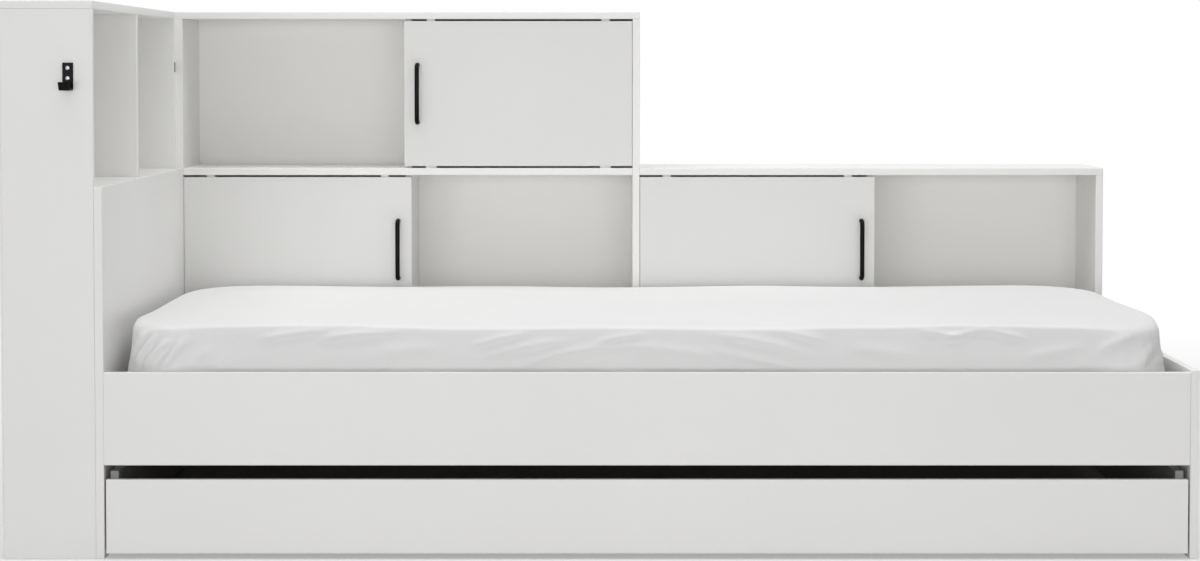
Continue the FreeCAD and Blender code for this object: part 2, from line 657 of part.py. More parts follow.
def cam_connectors():
    rail_levels = (RAIL_UNDER + RAIL_CONNECTOR_INSET, RAIL_TOP - RAIL_CONNECTOR_INSET)
    front_rail = [(FRONT + BOARD / 2, z) for z in rail_levels]
    rear_rail = [(REAR_IN + BOARD / 2, z) for z in rail_levels]
    tall = (BOOK_FRONT + TALL_CONNECTOR_INSET, BOOK_BACK - TALL_CONNECTOR_INSET)
    low = (BOOK_FRONT + LOW_CONNECTOR_INSET, BOOK_BACK - LOW_CONNECTOR_INSET)
    tall_x = (HEAD_IN, MIDDLE_IN)
    low_x = (MIDDLE, FOOT_IN)
    sides = ("bookcase_left_side", "bookcase_middle_side")
    low_sides = ("bookcase_middle_side", "bookcase_right_side")
    shelf = [(y, SHELF_UNDER + BOARD / 2) for y in tall]
    floor = [(y, FLOOR_UNDER + BOARD / 2) for y in tall]
    low_floor = [(y, FLOOR_UNDER + BOARD / 2) for y in low]
    made = []
    made += end_cams("front_rail", "headboard_panel", "foot_panel", (HEAD_IN, FOOT_IN), front_rail, Y_AXIS)
    made += end_cams("rear_rail", "headboard_panel", "foot_panel", (HEAD_IN, FOOT_IN), rear_rail, -Y_AXIS)
    made += end_cams("tall_shelf", *sides, tall_x, shelf, -Z_AXIS)
    made += end_cams("tall_floor", *sides, tall_x, floor, -Z_AXIS)
    made += end_cams("low_floor", *low_sides, low_x, low_floor, -Z_AXIS)
    for y in low:
        at = Vector(MIDDLE, y, SHELF_UNDER + BOARD / 2)
        made += cam_joint("low_top", "bookcase_middle_side", at, X_AXIS, -Z_AXIS)
    pieces["cam_connectors"] = Part.makeCompound(made)


def dowel_joint(face_board, edge_board, at, up):
    """A dowel that stands out of the face of one board, along up, into the edge of another."""
    start = at - up * DOWEL_IN_FACE
    length = DOWEL_IN_FACE + DOWEL_IN_EDGE
    hole = rod(DOWEL_RADIUS + CONNECTOR_FIT, start, up, length)
    cut(face_board, hole)
    cut(edge_board, hole)
    return rod(DOWEL_RADIUS, start, up, length)


def dowels():
    inset = TALL_CONNECTOR_INSET
    partition = sum(TALL_PARTITION) / 2
    low_partition = sum(LOW_PARTITION) / 2
    divider = (FRONT + BOOK_FRONT) / 2
    bookcase_joints = [
        ("tall_top", "bookcase_left_side", HEAD + BOARD / 2, TOP_UNDER, -Z_AXIS),
        ("tall_top", "bookcase_middle_side", MIDDLE - BOARD / 2, TOP_UNDER, -Z_AXIS),
        ("low_top", "bookcase_right_side", FOOT - BOARD / 2, SHELF_UNDER, -Z_AXIS),
        ("tall_top", "upper_partition", partition, TOP_UNDER, -Z_AXIS),
        ("tall_shelf", "lower_partition", partition, SHELF_UNDER, -Z_AXIS),
        ("tall_floor", "lower_partition", partition, FIRST_ROW_FLOOR, Z_AXIS),
        ("low_top", "low_partition", low_partition, SHELF_UNDER, -Z_AXIS),
        ("low_floor", "low_partition", low_partition, FIRST_ROW_FLOOR, Z_AXIS),
    ]
    cabinet_joints = [
        ("cabinet_top", "cabinet_front_panel", FRONT + BOARD / 2, TOP_UNDER, -Z_AXIS),
        ("cabinet_top", "cabinet_rear_panel", BOOK_FRONT - BOARD / 2, TOP_UNDER, -Z_AXIS),
        ("cabinet_top", "cabinet_divider", divider, TOP_UNDER, -Z_AXIS),
        ("cabinet_shelf", "cabinet_divider", divider, SHELF_TOP, Z_AXIS),
    ]
    for board, under in (("cabinet_shelf", SHELF_UNDER), ("cabinet_bottom", CABINET_KICK)):
        cabinet_joints.append(("cabinet_front_panel", board, FRONT_IN, under + BOARD / 2, Y_AXIS))
        cabinet_joints.append(("cabinet_rear_panel", board, REAR_IN, under + BOARD / 2, -Y_AXIS))
    made = []
    for face_board, edge_board, x, z, up in bookcase_joints:
        for y in (BOOK_FRONT + inset, BOOK_BACK - inset):
            made.append(dowel_joint(face_board, edge_board, Vector(x, y, z), up))
    for face_board, edge_board, y, z, up in cabinet_joints:
        for x in (CABINET_LEFT + inset, HEAD - inset):
            made.append(dowel_joint(face_board, edge_board, Vector(x, y, z), up))
    pieces["dowels"] = Part.makeCompound(made)


def main():
    head_cabinet()
    connector_plate()
    coat_hook()
    bed_frame()
    slats()
    drawer_stops()
    mattress()
    drawer()
    castors()
    bookcase()
    bookcase_back()
    sliding_doors()
    cam_connectors()
    dowels()
    os.makedirs("parts", exist_ok=True)
    for name, shape in pieces.items():
        shape.exportStep(f"parts/{name}.step")


main()
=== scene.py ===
import json
import math
import random

import bmesh
import bpy
import numpy as np
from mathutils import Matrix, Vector


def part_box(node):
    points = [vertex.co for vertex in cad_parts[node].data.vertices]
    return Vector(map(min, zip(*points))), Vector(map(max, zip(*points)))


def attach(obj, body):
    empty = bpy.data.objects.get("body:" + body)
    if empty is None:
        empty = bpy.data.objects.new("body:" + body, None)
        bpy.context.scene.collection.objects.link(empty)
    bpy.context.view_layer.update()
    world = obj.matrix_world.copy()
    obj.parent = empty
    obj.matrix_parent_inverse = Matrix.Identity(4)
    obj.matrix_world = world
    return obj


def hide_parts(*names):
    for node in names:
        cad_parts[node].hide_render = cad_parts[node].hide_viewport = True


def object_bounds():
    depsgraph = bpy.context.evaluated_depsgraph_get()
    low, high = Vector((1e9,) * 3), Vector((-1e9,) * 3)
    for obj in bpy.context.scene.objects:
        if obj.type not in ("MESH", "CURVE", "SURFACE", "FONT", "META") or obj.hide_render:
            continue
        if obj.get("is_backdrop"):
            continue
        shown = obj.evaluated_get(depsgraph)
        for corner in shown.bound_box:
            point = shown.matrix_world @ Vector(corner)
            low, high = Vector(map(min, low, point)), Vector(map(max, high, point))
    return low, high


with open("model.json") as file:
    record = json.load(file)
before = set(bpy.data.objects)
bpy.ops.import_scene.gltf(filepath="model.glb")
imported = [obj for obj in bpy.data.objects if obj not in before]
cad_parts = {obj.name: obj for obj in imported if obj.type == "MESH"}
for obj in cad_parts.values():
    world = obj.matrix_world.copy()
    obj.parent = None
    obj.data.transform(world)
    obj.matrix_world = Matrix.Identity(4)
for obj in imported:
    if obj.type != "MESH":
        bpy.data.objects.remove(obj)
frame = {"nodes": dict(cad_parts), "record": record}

# Storage bed in white board, dressed for a studio picture. Metres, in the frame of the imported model:
# +X from head to foot, +Y from the front to the wall side, +Z up, with the floor at zero.

cad_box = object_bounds()
nodes = frame["nodes"]

# Camera: square to the front, looking down by the tilt in degrees, with some shift that keeps the uprights
# nearly upright
PICTURE_WIDTH = 1200
FOCAL_PIXELS = 2576.6
SENSOR_WIDTH = 36.0
CAMERA_DISTANCE = 4.807
CAMERA_HEIGHT = 0.9161
CAMERA_TILT = 2.252
CAMERA_SHIFT = -0.090

# Light: lamps in watts, and a floor that turns from a glow near the bed to pure white at the far distance
SKY_LEVEL = 0.30
TOP_LIGHT_POWER = 129.0
TOP_LIGHT_SIZE = (5.5, 3.0)
TOP_LIGHT_PLACE = (-0.1, -0.35, 4.2)
TOP_LIGHT_AIM = (-0.1, -0.25, 0.0)
FRONT_LIGHT_POWER = 126.0
FRONT_LIGHT_SIZE = (6.0, 1.3)
FRONT_LIGHT_PLACE = (-0.5, -6.5, 0.9)
FRONT_LIGHT_AIM = (0.0, 0.0, 0.5)
BACK_LIGHT_POWER = 50.0
BACK_LIGHT_SIZE = (6.0, 1.3)
BACK_LIGHT_PLACE = (0.3, 6.5, 1.0)
BACK_LIGHT_AIM = (0.0, 0.0, 0.5)
FLOOR_SIZE = 60.0
FLOOR_NEAR = 1.2
FLOOR_FAR = 4.2
FLOOR_GLOW = 0.35

# Colours, in linear light
BOARD_WHITE = (0.871, 0.867, 0.852)
PANEL_WHITE = (0.931, 0.926, 0.907)
# Painted shade: the doors are a darker copy of the white board, for the shade that falls on them where they
# sit back from the board fronts
DOOR_SHADED_WHITE = (0.748, 0.745, 0.732)
# Painted shade: the drawer box is the white board painted mid-grey, for the shade seen in the gap above the
# drawer front
DRAWER_SHADE_GREY = (0.26, 0.26, 0.255)
SHEET_WHITE = (0.840, 0.840, 0.838)
TICKING_WHITE = (0.700, 0.695, 0.670)
FLOOR_WHITE = (0.62, 0.62, 0.62)
FLOOR_SEEN = (0.93, 0.93, 0.93)
PINE_PALE = (0.66, 0.47, 0.28)
PINE_DARK = (0.50, 0.31, 0.15)
SATIN_BLACK = (0.0035, 0.0035, 0.0038)
ZINC = (0.56, 0.56, 0.58)
PLASTIC_WHITE = (0.78, 0.78, 0.76)
PLASTIC_GREY = (0.10, 0.10, 0.105)

# Rounded edges of the boards and of the metal; the angles, in degrees, tell a flat joint from a sharp edge
BOARD_EDGE = 0.0016
RAIL_EDGE = 0.0020
THIN_EDGE = 0.0004
METAL_EDGE = 0.0005
EDGE_STEPS = 2
FLAT_ANGLE = 0.5
SHARP_ANGLE = 40
WELD_REACH = 0.00001

# Below these, a divisor counts as zero and two places count as one
LEAST_DIVISOR = 1e-6
SAME_PLACE = 1e-9


# Small helpers

def smooth(value, start, end):
    """0 up to the start, 1 from the end on, and a soft step between them."""
    t = np.clip((value - start) / (end - start), 0, 1)
    return t * t * (3 - 2 * t)


def add_object(name, data):
    """An object in the scene, for a mesh, a lamp or a lens."""
    made = bpy.data.objects.new(name, data)
    bpy.context.scene.collection.objects.link(made)
    return made


# Material nodes

def feed(tree, socket, value):
    """Sets an input to a plain value, or links it to the output that feeds it."""
    if isinstance(value, bpy.types.NodeSocket):
        tree.links.new(value, socket)
    else:
        socket.default_value = value


def put(tree, kind, inputs=None, **settings):
    """Adds a node with its settings and its inputs."""
    made = tree.nodes.new(kind)
    for key, value in settings.items():
        setattr(made, key, value)
    for key, value in (inputs or {}).items():
        feed(tree, made.inputs[key], value)
    return made


def new_material(name, **sockets):
    """A material with one main shader, and the values that are the same all over it."""
    material = bpy.data.materials.new(name)
    material.use_nodes = True
    shader = material.node_tree.nodes["Principled BSDF"]
    for key, value in sockets.items():
        shader.inputs[key.replace("_", " ")].default_value = value
    return material, material.node_tree, shader


def places(tree, stretch=(1, 1, 1)):
    """The place on the piece, in metres, stretched along its axes."""
    coords = put(tree, "ShaderNodeTexCoord")
    return put(tree, "ShaderNodeMapping", {"Vector": coords.outputs["Object"], "Scale": stretch}).outputs[0]


def noise(tree, where, scale, detail=2.0, roughness=0.5):
    inputs = {"Vector": where, "Scale": scale, "Detail": detail, "Roughness": roughness}
    return put(tree, "ShaderNodeTexNoise", inputs).outputs["Fac"]


def spread(tree, value, low, high, start=0.3, end=0.7):
    """Maps a noise value to a range."""
    inputs = {"Value": value, "From Min": start, "From Max": end, "To Min": low, "To Max": high}
    return put(tree, "ShaderNodeMapRange", inputs).outputs[0]


def calc(tree, operation, first, second):
    return put(tree, "ShaderNodeMath", {0: first, 1: second}, operation=operation).outputs[0]


def tinted(tree, fac, low, high):
    """A colour between two, by a value from 0 to 1."""
    inputs = {"Factor": fac, "A": (*low, 1), "B": (*high, 1)}
    mixed = put(tree, "ShaderNodeMix", data_type="RGBA")
    for socket in mixed.inputs:
        if socket.enabled and socket.name in inputs:
            feed(tree, socket, inputs[socket.name])
    return next(socket for socket in mixed.outputs if socket.enabled)


def shade(colour, level):
    """A colour made lighter or darker."""
    return tuple(c * level for c in colour)


def bump(tree, height, distance, strength, base=None):
    inputs = {"Height": height, "Distance": distance, "Strength": strength}
    if base is not None:
        inputs["Normal"] = base
    return put(tree, "ShaderNodeBump", inputs).outputs[0]


def coat(tree, shader, colour, roughness, normal):
    """Feeds the main shader what varies over the surface."""
    tree.links.new(colour, shader.inputs["Base Color"])
    tree.links.new(roughness, shader.inputs["Roughness"])
    tree.links.new(normal, shader.inputs["Normal"])


def melamine(name, colour, gloss):
    """White faced board: a fine pearl grain in the pressed face, and a faint drift of tone."""
    material, tree, shader = new_material(name)
    where = places(tree)
    drift = noise(tree, where, scale=2.4)
    pearl = noise(tree, where, scale=1500.0, detail=1.0)
    grain = noise(tree, where, scale=620.0, detail=3.0, roughness=0.6)
    tone = calc(tree, "ADD", spread(tree, drift, 0.0, 0.75), spread(tree, pearl, 0.0, 0.25))
    coat(tree, shader,
         colour=tinted(tree, tone, shade(colour, 0.982), shade(colour, 1.012)),
         roughness=spread(tree, grain, gloss - 0.05, gloss + 0.06),
         normal=bump(tree, grain, distance=0.00012, strength=0.35))
    return material


def pine(name, stretch, ring_axis):
    """Planed softwood with straight growth rings and fine fibres along the board."""
    material, tree, shader = new_material(name)
    where = places(tree, stretch)
    warp = noise(tree, where, scale=5.0, detail=3.0)
    rings = put(tree, "ShaderNodeTexWave", {
        "Vector": where, "Scale": 22.0, "Distortion": 5.0, "Detail": 3.0, "Detail Scale": 1.4,
    }, wave_type="BANDS", bands_direction=ring_axis).outputs["Fac"]
    fibre = noise(tree, where, scale=420.0, detail=4.0, roughness=0.7)
    tone = calc(tree, "ADD", spread(tree, rings, 0.0, 0.55, 0.0, 1.0), spread(tree, warp, 0.0, 0.3))
    tone = calc(tree, "ADD", tone, spread(tree, fibre, -0.1, 0.15))
    coat(tree, shader,
         colour=tinted(tree, tone, PINE_PALE, PINE_DARK),
         roughness=spread(tree, fibre, 0.5, 0.7),
         normal=bump(tree, fibre, distance=0.0003, strength=0.4))
    return material


def powder_coat(name, colour):
    """Satin black coat with the fine pebble that sprayed powder leaves."""
    material, tree, shader = new_material(name, Specular_IOR_Level=0.07)
    where = places(tree)
    pebble = noise(tree, where, scale=1100.0)
    rub = noise(tree, where, scale=60.0, detail=3.0)
    coat(tree, shader,
         colour=tinted(tree, spread(tree, rub, 0.0, 1.0), colour, shade(colour, 2.2)),
         roughness=spread(tree, pebble, 0.30, 0.42),
         normal=bump(tree, pebble, distance=0.00015, strength=0.3))
    return material


def zinc_plate(name, colour):
    """Bright zinc with turning marks and a slight cloud."""
    material, tree, shader = new_material(name, Metallic=1.0)
    where = places(tree)
    cloud = noise(tree, where, scale=240.0, detail=3.0)
    marks = noise(tree, places(tree, (1, 1, 7)), scale=900.0)
    coat(tree, shader,
         colour=tinted(tree, spread(tree, cloud, 0.0, 1.0), shade(colour, 0.85), colour),
         roughness=spread(tree, marks, 0.2, 0.36),
         normal=bump(tree, marks, distance=0.00004, strength=0.4))
    return material


def moulded(name, colour, gloss):
    """Moulded plastic with a fine spark-eroded grain."""
    material, tree, shader = new_material(name)
    where = places(tree)
    grain = noise(tree, where, scale=1800.0)
    flow = noise(tree, where, scale=70.0)
    coat(tree, shader,
         colour=tinted(tree, spread(tree, flow, 0.0, 1.0), shade(colour, 0.95), shade(colour, 1.04)),
         roughness=spread(tree, grain, gloss - 0.06, gloss + 0.08),
         normal=bump(tree, grain, distance=0.0001, strength=0.35))
    return material


# Width of a thread, length of one wave of the wave texture at scale 1, and the layer that holds the flat cut
THREAD_PITCH = 0.0006
WAVE_TURN = 0.31416
FLAT_CUT = "flat_cut"
SLUB_STRETCH = (40, 900, 1)
CREASE_STRETCH = (1.0, 2.0, 2.4)


def woven(name, colour, crease):
    """Plain-woven cotton: crossing threads laid out on the flat cut, slubs and soft creases."""
    material, tree, shader = new_material(name, Sheen_Weight=0.12, Sheen_Roughness=0.5)
    cut = put(tree, "ShaderNodeUVMap", uv_map=FLAT_CUT).outputs[0]
    where = places(tree)
    scale = WAVE_TURN / THREAD_PITCH
    threads = []
    for axis in ("X", "Y"):
        inputs = {"Vector": cut, "Scale": scale, "Distortion": 0.4, "Detail": 1.0}
        threads.append(put(tree, "ShaderNodeTexWave", inputs, bands_direction=axis).outputs["Fac"])
    weave = calc(tree, "MULTIPLY", *threads)
    along_threads = put(tree, "ShaderNodeMapping", {"Vector": cut, "Scale": SLUB_STRETCH}).outputs[0]
    slub = noise(tree, along_threads, scale=1.0)
    cloud = noise(tree, where, scale=6.0, detail=3.0)
    folds = noise(tree, places(tree, CREASE_STRETCH), scale=26.0, detail=4.0, roughness=0.55)
    tone = calc(tree, "ADD", spread(tree, cloud, 0.0, 0.6), spread(tree, slub, 0.0, 0.4))
    creased = bump(tree, folds, distance=crease, strength=0.5)
    coat(tree, shader,
         colour=tinted(tree, tone, shade(colour, 0.985), shade(colour, 1.015)),
         roughness=spread(tree, slub, 0.78, 0.92),
         normal=bump(tree, weave, distance=0.00012, strength=0.25, base=creased))
    return material


MATERIALS = {
    "white_board": melamine("white_board_melamine", BOARD_WHITE, 0.42),
    "thin_white_panel": melamine("thin_panel_lacquer", PANEL_WHITE, 0.52),
    "black_metal": powder_coat("satin_black_coat", SATIN_BLACK),
    "zinc_steel": zinc_plate("bright_zinc", ZINC),
    "white_plastic": moulded("white_moulding", PLASTIC_WHITE, 0.42),
    "grey_plastic": moulded("grey_moulding", PLASTIC_GREY, 0.5),
    "sheet_cotton": woven("sheet_cotton_weave", SHEET_WHITE, 0.0012),
    "mattress_ticking": woven("ticking_weave", TICKING_WHITE, 0.0005),
}
# Painted shade: a darker copy of the white board, for the shade on the recessed doors
DOOR_SHADED_BOARD = melamine("door_melamine_painted_shade", DOOR_SHADED_WHITE, 0.42)
# Painted shade: the drawer's sides, back and bottom are painted grey, for the shade in the gap above the
# drawer front
DRAWER_SHADE_BOARD = melamine("drawer_box_painted_shade", DRAWER_SHADE_GREY, 0.48)
DRAWER_BOX = ("drawer_left_side", "drawer_right_side", "drawer_back", "drawer_bottom")
PINE_ACROSS = pine("pine_slats", (9.0, 0.7, 9.0), "X")
PINE_ALONG = pine("pine_ledges", (0.7, 9.0, 9.0), "Z")
SLOT_OF = {row["node"]: row["material_slot"] for row in frame["record"]["subparts"]}


def material_of(node):
    # The drawer box takes the grey copy of the white board, which is painted shade
    if node in DRAWER_BOX:
        return DRAWER_SHADE_BOARD
    # The doors take the darker copy of the white board, which is painted shade
    if node.endswith("_door"):
        return DOOR_SHADED_BOARD
    if SLOT_OF[node] == "bare_wood":
        return PINE_ALONG if "ledge" in node else PINE_ACROSS
    return MATERIALS[SLOT_OF[node]]


# Boards and fittings that stay as they were built

def soften_edges(piece, width):
    """Rounds the sharp edges a little, so that they catch the light."""
    weld = piece.modifiers.new("join_faces", "WELD")
    weld.merge_threshold = WELD_REACH
    flat = piece.modifiers.new("clear_flats", "DECIMATE")
    flat.decimate_type = "DISSOLVE"
    flat.angle_limit = math.radians(FLAT_ANGLE)
    edge = piece.modifiers.new("round_edges", "BEVEL")
    edge.width = width
    edge.segments = EDGE_STEPS
    edge.limit_method = "ANGLE"
    edge.angle_limit = math.radians(SHARP_ANGLE)
    edge.use_clamp_overlap = False


EDGE_OF_SLOT = {
    "white_board": BOARD_EDGE, "thin_white_panel": THIN_EDGE, "bare_wood": BOARD_EDGE,
}
OTHER_EDGES = {
    "front_rail": RAIL_EDGE, "cabinet_rear_panel": THIN_EDGE, "coat_hook": METAL_EDGE, "dowels": None,
}


def finish_nodes():
    """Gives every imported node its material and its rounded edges."""
    for name, piece in nodes.items():
        piece.data.materials.clear()
        piece.data.materials.append(material_of(name))
        width = OTHER_EDGES.get(name, EDGE_OF_SLOT.get(SLOT_OF[name]))
        if width:
            soften_edges(piece, width)


# Screws of the coat hook: a slightly domed head with a cross slot, each turned its own way, on a plain shank

HEAD_RINGS = 20
HEAD_SPOKES = 64
HEAD_DOME = 0.0011
HEAD_THICKNESS = 0.0018
SHANK_RADIUS = 0.0020
SLOT_DEPTH = 0.0012
SLOT_HALF_WIDTH = 0.0006
SLOT_HALF_LENGTH = 0.0021
SLOT_SOFTNESS = 0.0003
SCREW_TURNS = (0.35, 1.05)


def slot_depth(u, v):
    """Depth of one arm pair of the cross slot, with sloping walls."""
    across = 1 - smooth(abs(u), SLOT_HALF_WIDTH, SLOT_HALF_WIDTH + SLOT_SOFTNESS)
    along = 1 - smooth(abs(v), SLOT_HALF_LENGTH - SLOT_SOFTNESS, SLOT_HALF_LENGTH)
    return SLOT_DEPTH * float(across * along)


def screw_rings(radius, length, turn):
    """Rings of points (X, depth, Z) from the middle of the head to the end of the shank."""
    outline = [(radius * (i + 1) / HEAD_RINGS, None) for i in range(HEAD_RINGS)]
    outline += [(radius, HEAD_THICKNESS), (SHANK_RADIUS, HEAD_THICKNESS), (SHANK_RADIUS, length)]
    for ring, depth in outline:
        points = []
        for spoke in range(HEAD_SPOKES):
            angle = 2 * math.pi * spoke / HEAD_SPOKES
            u = ring * math.cos(angle - turn)
            v = ring * math.sin(angle - turn)
            dome = HEAD_DOME * (ring / radius) ** 2
            place = dome + max(slot_depth(u, v), slot_depth(v, u)) if depth is None else depth
            points.append((ring * math.cos(angle), place, ring * math.sin(angle)))
        yield points


def hook_screws():
    low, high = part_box("coat_hook_screws")
    radius = (high.x - low.x) / 2
    middle = (low.x + high.x) / 2
    mesh = bmesh.new()
    for z, turn in zip((low.z + radius, high.z - radius), SCREW_TURNS):
        start = Vector((middle, low.y, z))
        centre = mesh.verts.new(start + Vector((0, SLOT_DEPTH, 0)))
        inner = None
        for ring in screw_rings(radius, high.y - low.y, turn):
            outer = [mesh.verts.new(start + Vector(place)) for place in ring]
            for i in range(HEAD_SPOKES):
                j = (i + 1) % HEAD_SPOKES
                corners = (outer[i], outer[j], inner[j], inner[i]) if inner else (outer[i], outer[j], centre)
                mesh.faces.new(corners).smooth = True
            inner = outer
        mesh.faces.new(reversed(inner))
    screws = new_piece("hook_screws", mesh, MATERIALS["zinc_steel"])
    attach(screws, "bed_frame")
    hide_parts("coat_hook_screws")


def new_piece(name, mesh, material):
    bmesh.ops.recalc_face_normals(mesh, faces=mesh.faces)
    data = bpy.data.meshes.new(name)
    mesh.to_mesh(data)
    mesh.free()
    data.materials.append(material)
    return add_object(name, data)


# Mattress and fitted sheet

MATTRESS_LOW, MATTRESS_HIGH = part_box("mattress")
SHEET_LOW, SHEET_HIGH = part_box("fitted_sheet")
# Mesh steps on the faces and down the sides
GRID = 0.010
ROW = 0.006
# Round of the corners seen from above, and of the top edge, which is fuller near the corners
PLAN_CORNER = 0.095
EDGE_ROUND = 0.006
EDGE_CREASE = 0.45
CORNER_ROUND = 0.020
CORNER_REACH = 0.20
# From this height up, the corners lean in
CORNER_LEAN = 0.013
LEAN_START = 0.33
# The top swells towards its middle
CROWN = 0.006
CROWN_REACH = 0.23
# From a little above the rail down, the long sides draw in and the ends flare out
DRAW_IN = 0.006
END_FLARE = 0.004
END_REACH = 0.20
DRAW_IN_FROM = 0.388
DRAW_IN_TO = 0.342


def box_lattice(nx, ny, nz, closed):
    """Grid places and quads of a box's skin: the top and the four sides, and the bottom if closed."""
    index = {}

    def at(*place):
        return index.setdefault(place, len(index))

    quads = []
    for i in range(nx):
        for j in range(ny):
            quads.append((at(i, j, nz), at(i + 1, j, nz), at(i + 1, j + 1, nz), at(i, j + 1, nz)))
            if closed:
                quads.append((at(i, j, 0), at(i, j + 1, 0), at(i + 1, j + 1, 0), at(i + 1, j, 0)))
    for k in range(nz):
        for i in range(nx):
            quads.append((at(i, 0, k), at(i + 1, 0, k), at(i + 1, 0, k + 1), at(i, 0, k + 1)))
            quads.append((at(i, ny, k), at(i, ny, k + 1), at(i + 1, ny, k + 1), at(i + 1, ny, k)))
        for j in range(ny):
            quads.append((at(0, j, k), at(0, j, k + 1), at(0, j + 1, k + 1), at(0, j + 1, k)))
            quads.append((at(nx, j, k), at(nx, j + 1, k), at(nx, j + 1, k + 1), at(nx, j, k + 1)))
    return np.array(list(index), float), quads


def over_edge(along, radius, reach):
    """Inset and drop of a point on a rounded edge; along counts from the edge's middle onto the flat."""
    half_arc = radius * math.pi / 4
    angle = np.clip((along + half_arc) / radius, 0, math.pi / 2)
    on_flat = np.maximum(along - half_arc, 0) * (reach - radius) / (reach - half_arc)
    inset = radius * (1 - np.cos(angle)) + on_flat
    drop = radius * (1 - np.sin(angle)) + np.maximum(-along - half_arc, 0)
    return inset, drop


def rounded_plan(flat, half, rim, inset):
    """Moves points of a rectangle from the ring at their rim distance to a rounded ring at their inset."""
    hx, hy = half
    ax = np.abs(flat[:, 0])
    ay = np.abs(flat[:, 1])
    c = np.maximum(PLAN_CORNER - rim, LEAST_DIVISOR)
    r = np.maximum(PLAN_CORNER - inset, 0)
    run_x = hx - rim - c
    run_y = hy - rim - c
    dx = ax - run_x
    dy = ay - run_y
    t = np.where(dx >= dy, 0.5 * dy / c, 1 - 0.5 * dx / c)
    turn = np.clip(t, 0, 1) * math.pi / 2
    corner = (dx > 0) & (dy > 0)
    on_end = hx - ax < hy - ay
    px = np.where(on_end, hx - inset, ax * (hx - inset - r) / np.maximum(run_x, LEAST_DIVISOR))
    py = np.where(on_end, ay * (hy - inset - r) / np.maximum(run_y, LEAST_DIVISOR), hy - inset)
    px = np.where(corner, hx - inset - r + r * np.cos(turn), px)
    py = np.where(corner, hy - inset - r + r * np.sin(turn), py)
    return np.sign(flat[:, 0]) * px, np.sign(flat[:, 1]) * py


def crease_rim(mesh, on_rim):
    """Keeps the top edge crisp when the mesh is made finer."""
    ends = np.empty(len(mesh.edges) * 2, np.int32)
    mesh.edges.foreach_get("vertices", ends)
    crease = on_rim[ends.reshape(-1, 2)].all(axis=1) * EDGE_CREASE
    mesh.attributes.new("crease_edge", "FLOAT", "EDGE").data.foreach_set("value", crease.astype(np.float32))


def lay_flat(mesh, cut):
    """Stores where each point lies on the flat cut."""
    layer = mesh.uv_layers.new(name=FLAT_CUT)
    corners = np.empty(len(mesh.loops), np.int32)
    mesh.loops.foreach_get("vertex_index", corners)
    layer.data.foreach_set("uv", cut[corners].astype(np.float32).ravel())


def soft_box(name, low, high, closed):
    """A padded box with round corners, as a mesh on an even grid that keeps the flat cut's layout."""
    size = high - low
    middle = (low + high) / 2
    hx, hy = size.x / 2, size.y / 2
    nx, ny, nz = round(size.x / GRID), round(size.y / GRID), round(size.z / ROW)
    lattice, quads = box_lattice(nx, ny, nz, closed)
    flat = np.stack([(lattice[:, 0] / nx * 2 - 1) * hx, (lattice[:, 1] / ny * 2 - 1) * hy], 1)
    up = lattice[:, 2] / nz
    rim = np.minimum(hx - np.abs(flat[:, 0]), hy - np.abs(flat[:, 1]))
    on_face = (lattice[:, 2] == nz) | (closed & (lattice[:, 2] == 0))
    from_top = up > 0.5
    to_face = np.where(from_top, 1 - up, up) * size.z
    along = np.where(on_face, rim, -to_face)
    corner = smooth(np.abs(flat[:, 0]), hx - CORNER_REACH, hx)
    corner = corner * smooth(np.abs(flat[:, 1]), hy - CORNER_REACH, hy)
    radius = EDGE_ROUND + (CORNER_ROUND - EDGE_ROUND) * corner
    inset, drop = over_edge(along, radius, hy)
    crown = CROWN * smooth(inset, 0, CROWN_REACH)
    if not closed:
        drop = np.where(on_face | from_top, drop, (1 - up) * size.z)
        from_top[:] = True
    z = np.where(from_top, high.z - CROWN + crown - drop, low.z + drop)
    near_end = smooth(np.abs(flat[:, 0]), hx - END_REACH, hx)
    draw = DRAW_IN - (DRAW_IN + END_FLARE) * near_end
    inset = inset + draw * (1 - smooth(z, DRAW_IN_TO, DRAW_IN_FROM)) * (1 - inset / hy)
    x, y = rounded_plan(flat, (hx, hy), np.where(on_face, rim, 0), inset)
    lean = CORNER_LEAN * corner * smooth(z, LEAN_START, high.z)
    points = np.stack([x - np.sign(x) * lean + middle.x, y + middle.y, z], 1)
    mesh = bpy.data.meshes.new(name)
    mesh.from_pydata(points.tolist(), [], quads)
    mesh.shade_smooth()
    crease_rim(mesh, (lattice[:, 2] == nz) & (rim < SAME_PLACE))
    spill = np.where(on_face, 0, (1 - up) * size.z)
    sides = np.stack([np.abs(flat[:, 0]) >= hx - SAME_PLACE, np.abs(flat[:, 1]) >= hy - SAME_PLACE], 1)
    lay_flat(mesh, flat + np.sign(flat) * sides * spill[:, None])
    return add_object(name, mesh)


def read_points(piece):
    points = np.empty(len(piece.data.vertices) * 3, np.float32)
    piece.data.vertices.foreach_get("co", points)
    return points.reshape(-1, 3).astype(float)


def write_points(piece, points):
    piece.data.vertices.foreach_set("co", points.astype(np.float32).ravel())
    piece.data.update()


def read_normals(piece):
    normals = np.empty(len(piece.data.vertices) * 3, np.float32)
    piece.data.vertex_normals.foreach_get("vector", normals)
    return normals.reshape(-1, 3).astype(float)


